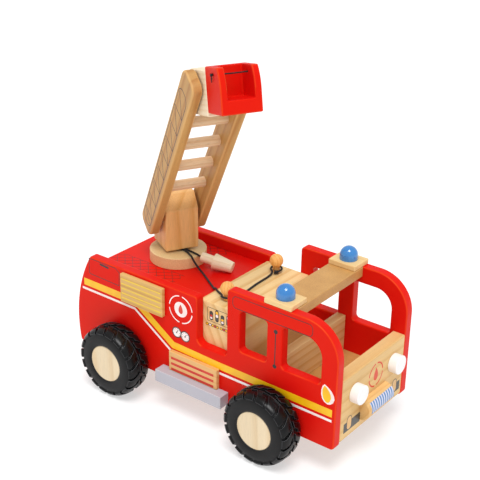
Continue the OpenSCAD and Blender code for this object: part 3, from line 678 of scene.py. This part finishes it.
def makeTyre():
    half = tyre["profile"]
    ring = half + [(r, -y) for r, y in reversed(half)]
    deselectAll()
    bpy.ops.mesh.primitive_circle_add(vertices=len(ring), radius=half[0][0] * mm)
    made = bpy.context.view_layer.objects.active
    for v, (r, y) in zip(made.data.vertices, ring):
        v.co = (0, y * mm, r * mm)
    edit(made, "VERT")
    bpy.ops.mesh.select_all(action="SELECT")
    bpy.ops.mesh.spin(steps=tyre["columns"], angle=2 * math.pi, center=(0, 0, 0), axis=(0, 1, 0))
    bpy.ops.mesh.select_all(action="SELECT")
    bpy.ops.mesh.remove_doubles(threshold=0.00001)
    bpy.ops.mesh.normals_make_consistent(inside=False)
    done()
    step = 2 * math.pi / tyre["columns"]

    def place(p):  # column angle and radius of a point, before the lean
        return math.atan2(p.x, p.z) % (2 * math.pi), math.hypot(p.x, p.z)

    lugs = []
    for face in made.data.polygons:
        turn, r = place(face.center)
        y = face.center.y / mm
        column = int(turn / step)
        if 1.6 < abs(y) < 15 and r > tyre["lugsFrom"] * mm:
            pitch = (column + (0 if y > 0 else 2)) % 4
            if pitch < 3 and not (pitch == 2 and abs(y) < 5):
                lugs.append(face.index)
    for v in made.data.vertices:
        turn, r = place(v.co)
        y = v.co.y / mm
        if r > tyre["leansFrom"] * mm:
            turn += math.radians(tyre["slant"]) * min(1.0, abs(y) / 12.9) ** 0.9
            v.co.x, v.co.z = r * math.sin(turn), r * math.cos(turn)
    edit(made)
    done()
    for face in made.data.polygons:
        face.select = False
    for i in lugs:
        made.data.polygons[i].select = True
    bpy.ops.object.mode_set(mode="EDIT")
    bpy.ops.mesh.extrude_region_shrink_fatten(
        MESH_OT_extrude_region={"use_normal_flip": False},
        TRANSFORM_OT_shrink_fatten={"value": tyre["lugDepth"] * mm, "use_even_offset": True})
    bpy.ops.mesh.select_all(action="DESELECT")
    done()
    for face in made.data.polygons:  # thin ridge round the middle
        r = math.hypot(face.center.x, face.center.z)
        face.select = abs(face.center.y) < 0.3 * mm and r > 0.04
    bpy.ops.object.mode_set(mode="EDIT")
    bpy.ops.mesh.extrude_region_shrink_fatten(TRANSFORM_OT_shrink_fatten={"value": tyre["ridgeHeight"] * mm})
    bpy.ops.mesh.select_all(action="SELECT")
    bpy.ops.mesh.faces_shade_smooth()
    done()
    outer, side = tyre["outer"] * mm, tyre["halfWidth"] * mm
    for v in made.data.vertices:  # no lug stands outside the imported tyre
        r = math.hypot(v.co.x, v.co.z)
        if r > outer:
            v.co.x, v.co.z = v.co.x * outer / r, v.co.z * outer / r
        v.co.y = max(-side, min(side, v.co.y))
    made.data.materials.append(tyreVinyl)
    made.data.materials.append(treadVinyl)
    applyModifier(made, "BEVEL", width=0.4 * mm, segments=2, limit_method="ANGLE", angle_limit=math.radians(38),
                  use_clamp_overlap=True, material=1)
    # the lug edges are marked for the painted highlight of the vinyl
    markEdges(made)
    for face in made.data.polygons:
        face.material_index = int(math.hypot(face.center.x, face.center.z) > tyre["treadFrom"] * mm)
    applyModifier(made, "WEIGHTED_NORMAL", mode="FACE_AREA", weight=60, keep_sharp=True)
    return made


pattern = makeTyre()
for body, jointName, node in (("front_wheels", "front_axle_roll", "front_tyres"),
        ("rear_wheels", "rear_axle_roll", "rear_tyres")):
    pair = []
    for flip in (-1, 1):
        one = bpy.data.objects.new("tyreCopy", pattern.data.copy())
        bpy.context.scene.collection.objects.link(one)
        one.matrix_world = Matrix.Translation(Vector(joint[jointName]["pos_m"]) + Vector((0,
            flip * tyre["middle"] * mm, 0)))
        settle(one)
        pair.append(one)
    finishPiece(joined(pair, node + "Treaded"), body, None, "tyre", node)
bpy.data.objects.remove(pattern)
print("tyres made")


def roundRect(x0, z0, x1, z1, r, steps=6):
    loop = []
    for cx, cz, start in ((x1 - r, z1 - r, 0), (x0 + r, z1 - r, 90), (x0 + r, z0 + r, 180), (x1 - r, z0 + r, 270)):
        for i in range(steps + 1):
            a = math.radians(start + 90 * i / steps)
            loop.append((cx + r * math.cos(a), cz + r * math.sin(a)))
    return loop


def circle(x, z, r, steps=32, start=0, sweep=360):
    count = steps if sweep == 360 else steps + 1
    return [(x + r * math.cos(math.radians(start + sweep * i / steps)),
        z + r * math.sin(math.radians(start + sweep * i / steps)))
            for i in range(count)]


def beside(points, away, closed=False):  # the line that runs a set distance to the left of another
    out = []
    n = len(points)
    for i in range(n):
        here = Vector(points[i])
        before = here - Vector(points[i - 1]) if i or closed else None
        after = Vector(points[(i + 1) % n]) - here if i < n - 1 or closed else None
        before, after = before or after, after or before
        a, b = before.normalized(), after.normalized()
        na, nb = Vector((-a.y, a.x)), Vector((-b.y, b.x))
        out.append(tuple(here + (na + nb) / max(0.4, 1 + na.dot(nb)) * away))
    return out


def line(points, width):
    return [beside(points, width / 2) + beside(points, -width / 2)[::-1]]


def outline(points, width):
    return [beside(points, width / 2, True), beside(points, -width / 2, True)]


def capsule(x0, z0, x1, z1, width):
    turn = math.degrees(math.atan2(z1 - z0, x1 - x0))
    return [circle(x1, z1, width / 2, 10, turn - 90, 180) + circle(x0, z0, width / 2, 10, turn + 90, 180)]


def brokenRing(x, z, r, width):  # four arcs with gaps between them
    return [line(circle(x, z, r, 14, 7 + 90 * k, 76), width) for k in range(4)]


def drop(x, z, size):  # a plain drop of water
    loop = []
    for i in range(28):
        t = 2 * math.pi * i / 28
        loop.append((x + size * 0.62 * math.sin(t) * math.sin(t / 2) ** 1.1, z + size * (0.1 + 0.9 * math.cos(t))))
    return [loop]


def inkSheet(name, shapes, faces, body, material, level=0.0, thickness=0.1):
    sheets = []
    for origin, across, up, out in faces:
        for i, loops in enumerate(shapes):
            flat = bpy.data.curves.new(name, "CURVE")
            flat.dimensions, flat.fill_mode = "2D", "BOTH"
            flat.extrude = thickness / 2 * mm
            for loop in loops:
                run = flat.splines.new("POLY")
                run.points.add(len(loop) - 1)
                for knob, (u, v) in zip(run.points, loop):
                    knob.co = (u * mm, v * mm, 0, 1)
                run.use_cyclic_u = True
            sheet = bpy.data.objects.new(name, flat)
            bpy.context.scene.collection.objects.link(sheet)
            sheet = asMesh(sheet)
            away = Vector(out) * ((0.02 + level + 0.0008 * i) * mm)
            sheet.matrix_world = Matrix.Translation(Vector(origin) * mm + away) @ Matrix(
                (Vector(across), Vector(up), Vector(out))).transposed().to_4x4()
            settle(sheet)
            sheets.append(sheet)
    whole = joined(sheets, name)
    outwards(whole)
    return finishPiece(whole, body, material, None)


yellowInk = printedInk("yellowInkScreenPrinted", "#fbc200", "#f4b400")
whiteInk = printedInk("whiteInkScreenPrinted", "#f8f4f2", "#f4dcd6")
blackInk = printedInk("blackInkScreenPrinted", "#17120f", "#2a201c")
brownInk = printedInk("brownInkScreenPrinted", "#3c210e", "#513017")
redInk = printedInk("redInkScreenPrinted", "#c81e10", "#d6351c")
slateInk = printedInk("slateInkScreenPrinted", "#3c3a36", "#4c4a44")
paleInk = printedInk("paleYellowInkScreenPrinted", "#ecc932", "#e4be44")
woodInk = printedInk("tanInkScreenPrinted", "#dfae6c", "#e4b87a")



def bothSides(y):  # the printed faces on the right and on the left, y mm from the middle
    return [((0, flip * y, 0), longways, upright, (0, flip, 0)) for flip in (-1, 1)]


plateFaces, trimFaces, blockFaces = bothSides(75), bothSides(80.5), bothSides(63)
noseFace = [((179.25, 0, 0), crossways, upright, (1, 0, 0))]
deckFace = [((0, 0, 141.4), longways, crossways, (0, 0, 1))]
railFaces = [(ladderMm - turretSide * 35.4, ladderAlong, ladderUp, -turretSide),
             (ladderMm + turretSide * 35.4, ladderAlong, ladderUp, turretSide)]

sidePrint = {
    "stripe": [(-184.5, 109.9), (-99.8, 109.4), (-44.2, 73.2), (27, 71.1), (175, 70.7)],
    "whiteWidth": 2.9,
    "yellowWidth": 9,
    "yellowAbove": 9.2,
    "badge": (-29.7, 131.8),
    "gauges": [(-35.7, 100.9), (-23.3, 99.5)],
    "locker": [(-171.6, 152.2), (-171.9, 133.1), (-168.7, 132.1), (-124, 131), (-123, 147.9), (-129.5, 152.1)],
    "lamp": [(164.2, 111.7), (168.6, 109.6), (173, 106.2), (176.2, 101.9), (177.2, 97.6), (175.6, 93), (172.2, 90),
             (168.6, 89.2), (164.8, 90.6), (162.1, 93.8), (160.7, 98.6), (160.6, 103.8), (161.9, 109)],
}


def makeSidePrint():
    s = sidePrint
    band = beside(s["stripe"], s["yellowAbove"])
    band[0] = (band[0][0] + 3, band[0][1])
    bx, bz = s["badge"]
    yellow = [line(band, s["yellowWidth"])]
    white = [line(s["stripe"], s["whiteWidth"]), [circle(bx, bz, 9.3)]]
    white += brokenRing(bx, bz, 16.6, 1.3)
    white += [[circle(gx, gz, 6.1)] for gx, gz in s["gauges"]]
    white.append([s["lamp"]])
    black = [outline(s["locker"], 0.75), capsule(-153, 149.6, -141.2, 148.7, 2.6),
             outline(roundRect(43.6, 160, 146.6, 174, 5), 0.7),
             *[[circle(gx, gz, 6.9), circle(gx, gz, 6.1)[::-1]] for gx, gz in s["gauges"]],
             line([(100.8, 150.2), (100.6, 108.4)], 1.2), [circle(100.8, 150.2, 2.5)], [circle(100.6, 108.4, 2.5)]]
    inkSheet("printYellowBands", yellow, plateFaces, "body", yellowInk)
    inkSheet("printWhite", white, plateFaces, "body", whiteInk)
    inkSheet("printBlackLines", black, plateFaces, "body", blackInk)
    inkSheet("printBadgeDrops", [drop(bx, bz, 6.6)], plateFaces, "body", redInk, level=0.05)
    dials = []
    for gx, gz in s["gauges"]:
        dials += [outline(circle(gx, gz, 5.9), 0.6), line([(gx - 0.4, gz - 0.8), (gx + 1.9, gz + 3.2)], 0.8),
            [circle(gx - 0.2, gz - 0.4, 0.9, 12)]]
        dials += [line([(gx + 4 * math.cos(a), gz + 4 * math.sin(a)),
            (gx + 5.1 * math.cos(a), gz + 5.1 * math.sin(a))], 0.45)
                  for a in (math.radians(d) for d in (-40, 0, 40, 80, 120, 160, 200))]
    inkSheet("printDials", dials, plateFaces, "body", slateInk, level=0.05)
    inside = beside(s["lamp"], -1.5, True)
    lens = [(x - 0.28 * max(0, x - 166), z) for x, z in inside]
    inkSheet("printLampLens", [[lens]], plateFaces, "body", yellowInk, level=0.05)


def makePanelPrint():
    frames = [outline(roundRect(-0.9, 124, 33.4, 140.7, 1), 0.5)]
    backs = []
    parts = {"black": [], "red": [], "white": [], "yellow": []}
    for x, low, high, tones in ((4.6, 125.8, 136.5, ("white", "red", "black")),
            (12.6, 126, 140, ("black", "white", "yellow")),
                                (20.4, 124.9, 136.3, ("white", "yellow", "black")),
                                (28.2, 126.4, 138.4, ("black", "red", "white"))):
        backs.append(capsule(x, low + 2, x, high - 2, 4.9))
        third = (high - low - 2.4) / 3
        for i, tone in enumerate(tones):
            parts[tone].append([roundRect(x - 1.7, low + 1.2 + third * i + 0.15, x + 1.7,
                low + 1.2 + third * (i + 1) - 0.15, 1.1)])
    for x, tone in ((-1.2, "yellow"), (3.0, "white"), (6.6, "yellow"), (9.9, "red"), (13.5, "yellow"),
            (18.8, "yellow"),
                    (22.3, "red"), (25.8, "yellow"), (29.4, "white")):
        backs.append(capsule(x - 0.4, 119.3, x + 0.4, 119.3, 3.4))
        parts[tone].append(capsule(x - 0.3, 119.3, x + 0.3, 119.3, 2.2)[:1])
    inkSheet("printPanelBlack", frames + backs, blockFaces, "body", blackInk)
    for tone, ink in (("black", slateInk), ("red", redInk), ("white", whiteInk), ("yellow", yellowInk)):
        inkSheet("printPanelKnobs" + tone.title(), parts[tone], blockFaces, "body", ink, level=0.06)


def makeNosePrint():
    ringRed = brokenRing(3.5, 91.7, 13.8, 1.8) + [drop(3.5, 91.7, 9)]
    inkSheet("printNoseBadge", ringRed, noseFace, "body", printedInk("orangeInkScreenPrinted", "#d4340a", "#d94214"))
    inkSheet("printNoseBars", [[roundRect(-56.9, 47, -25, 58.7, 0.6)], [roundRect(26, 47, 58.5, 58.7, 0.6)]],
        noseFace, "body", slateInk)
    ovals = [roundRect(c - 4.5, 47.9, c + 4.5, 64.4, 4.4) for c in (-46.3, 47)]
    inkSheet("printNoseOvals", [[o] for o in ovals], noseFace, "body", woodInk, level=0.04)
    inkSheet("printNoseOvalLines", [outline(o, 0.8) for o in ovals], noseFace, "body", slateInk, level=0.06)


def makeTrimPrint():
    inkSheet("printVentSlots", [[roundRect(-40, z - 1.6, 22.2, z + 1.6, 0.5)] for z in (68.6, 61.3, 54.2)], trimFaces,
        "body", redInk)
    inkSheet("printLockerStripes",
        [[roundRect(-115, z - 0.8, -54.6, z + 0.8, 0.3)] for z in (145.5, 139.5, 133.4, 127.4, 121.4)],
             trimFaces, "body", paleInk)


def clipped(x, slope, low, high, left, right):  # a slanted line through (x, high), kept inside a strip
    points = []
    for i in range(41):
        v = high + (low - high) * i / 40
        u = x + (high - v) / slope
        if left <= u <= right:
            points.append((u, v))
    return [points[0], points[-1]] if len(points) > 1 else None


def makeTread():
    lines = []
    for low, high in ((-44.6, -23), (43, 64.6 - 2)):
        for k in range(14):
            for slope, start in ((1.05, -188), (-0.8, -170)):
                found = clipped(start + 12.5 * k, slope, low, high, -168, -67)
                if found and (Vector(found[0]) - Vector(found[1])).length > 3:
                    lines.append(line(found, 0.55))
        lines.append(line([(-160, high), (-68, high)], 0.4))
    inkSheet("printDeckTread", lines, deckFace, "body", printedInk("thinBlackInkScreenPrinted", "#5a0f0c", "#8a1410"))


def makeRailPrint():
    lines = [outline(roundRect(-15.5, -11.3, 213.5, 12.4, 9.5), 1.0)]
    for k in range(9):
        x = 1.5 + 26.05 * k
        if k < 8:
            lines.append(line([(x, 12.2), (x, -11.1)], 0.9))
        lines.append(line([(x - 3, 10.2), (x - 25.6 if k else -9, -10.9 if k else -9)], 0.9))
    inkSheet("printRailTruss", lines, railFaces, "ladder", brownInk)


makeSidePrint()
makePanelPrint()
makeNosePrint()
makeTrimPrint()
makeTread()
makeRailPrint()
print("prints made")

grille = {"low": -15, "high": 47, "from": -20.5, "to": 25, "radius": 12.3, "axis": (179.25, 61.2), "pitch": 4.4,
    "slant": 0.15}


def makeGrillePrint():
    g = grille
    material, tree, shader, where = startMaterial("blueInkScreenPrinted", IOR=1.5, Coat_Weight=0.1,
        Coat_Roughness=0.25)
    parts = addNode(tree, "ShaderNodeSeparateXYZ", {0: where})
    leaning = addNode(tree, "ShaderNodeMath", {0: parts.outputs[2], 1: -g["slant"], 2: parts.outputs[1]},
        operation="MULTIPLY_ADD")
    count = addNode(tree, "ShaderNodeMath", {0: leaning.outputs[0], 1: 1 / (g["pitch"] * mm)}, operation="MULTIPLY")
    along = addNode(tree, "ShaderNodeMath", {0: count.outputs[0]}, operation="FRACT")
    smear = addNode(tree, "ShaderNodeTexNoise", {"Vector": where, "Scale": 1 / 0.0012, "Detail": 2.0})
    level = addNode(tree, "ShaderNodeMath", {0: smear.outputs["Fac"], 1: 0.12, 2: along.outputs[0]},
        operation="MULTIPLY_ADD")
    blue, pale = linear("#5c86b8"), linear("#cfcfe0")
    base = addNode(tree, "ShaderNodeValToRGB", {"Fac": level.outputs[0]},
                   stops=[(0.0, pale), (1.0, pale), (0.3, pale), (0.38, blue), (0.82, blue), (0.92, pale)])
    tree.links.new(base.outputs[0], shader.inputs["Base Color"])
    shader.inputs["Roughness"].default_value = 0.45
    r = g["radius"] + 0.02
    cx, cz = g["axis"]
    deselectAll()
    bpy.ops.mesh.primitive_cylinder_add(
        vertices=120, radius=r * mm, depth=(g["to"] - g["from"]) * mm, end_fill_type="NOTHING",
        location=(cx * mm, (g["from"] + g["to"]) / 2 * mm, cz * mm), rotation=(math.pi / 2, 0, 0))
    patch = bpy.context.view_layer.objects.active
    patch.name = "printGrilleStripes"
    settle(patch)
    edit(patch, "VERT")
    for angle, keep in ((g["low"], 1), (g["high"], -1)):  # only the printed strip of the round is kept
        a = math.radians(angle)
        bpy.ops.mesh.select_all(action="SELECT")
        bpy.ops.mesh.bisect(plane_co=(cx * mm, 0, cz * mm), plane_no=(-math.sin(a) * keep, 0, math.cos(a) * keep),
            clear_inner=True)
    bpy.ops.mesh.select_all(action="SELECT")
    bpy.ops.mesh.normals_make_consistent(inside=False)
    done()
    facing = patch.data.polygons[0]
    if facing.normal.x < 0:
        edit(patch)
        bpy.ops.mesh.select_all(action="SELECT")
        bpy.ops.mesh.flip_normals()
        done()
    applyModifier(patch, "SOLIDIFY", thickness=0.1 * mm, offset=1)
    pick(patch)
    bpy.ops.object.shade_smooth_by_angle(angle=math.radians(30))
    finishPiece(patch, "body", material, None)


makeGrillePrint()

studio = {"sky": 0.74, "lamp": 1.9, "lampAngle": 26}


def makeStudio():
    bpy.ops.mesh.primitive_plane_add(size=30, location=(0, 0, 0))
    floor = bpy.context.view_layer.objects.active
    floor.name = "floor"
    material, tree, shader, where = startMaterial("paperSweepMatt", Roughness=0.9, Emission_Color=(1, 1, 1, 1),
        Emission_Strength=0.52)
    fibre = addNode(tree, "ShaderNodeTexNoise", {"Vector": where, "Scale": 1 / 0.3, "Detail": 2.0})
    base = addNode(tree, "ShaderNodeValToRGB", {"Fac": fibre.outputs["Fac"]},
        stops=[(0.3, linear("#bababa")), (0.7, linear("#bebebe"))])
    tree.links.new(base.outputs[0], shader.inputs["Base Color"])
    floor.data.materials.append(material)
    world = bpy.data.worlds.new("studio")
    world.use_nodes = True
    bpy.context.scene.world = world
    world.node_tree.nodes["Background"].inputs["Color"].default_value = (1, 1, 1, 1)
    world.node_tree.nodes["Background"].inputs["Strength"].default_value = studio["sky"]
    lamp = bpy.data.lights.new("softbox", "SUN")
    lamp.energy, lamp.angle = studio["lamp"], math.radians(studio["lampAngle"])
    holder = bpy.data.objects.new("softbox", lamp)
    bpy.context.scene.collection.objects.link(holder)
    holder.matrix_world = Vector((0.24, -0.32, 1.0)).to_track_quat("Z", "Y").to_matrix().to_4x4()
    bpy.context.scene.view_settings.view_transform = "Standard"


makeStudio()
print("studio made")
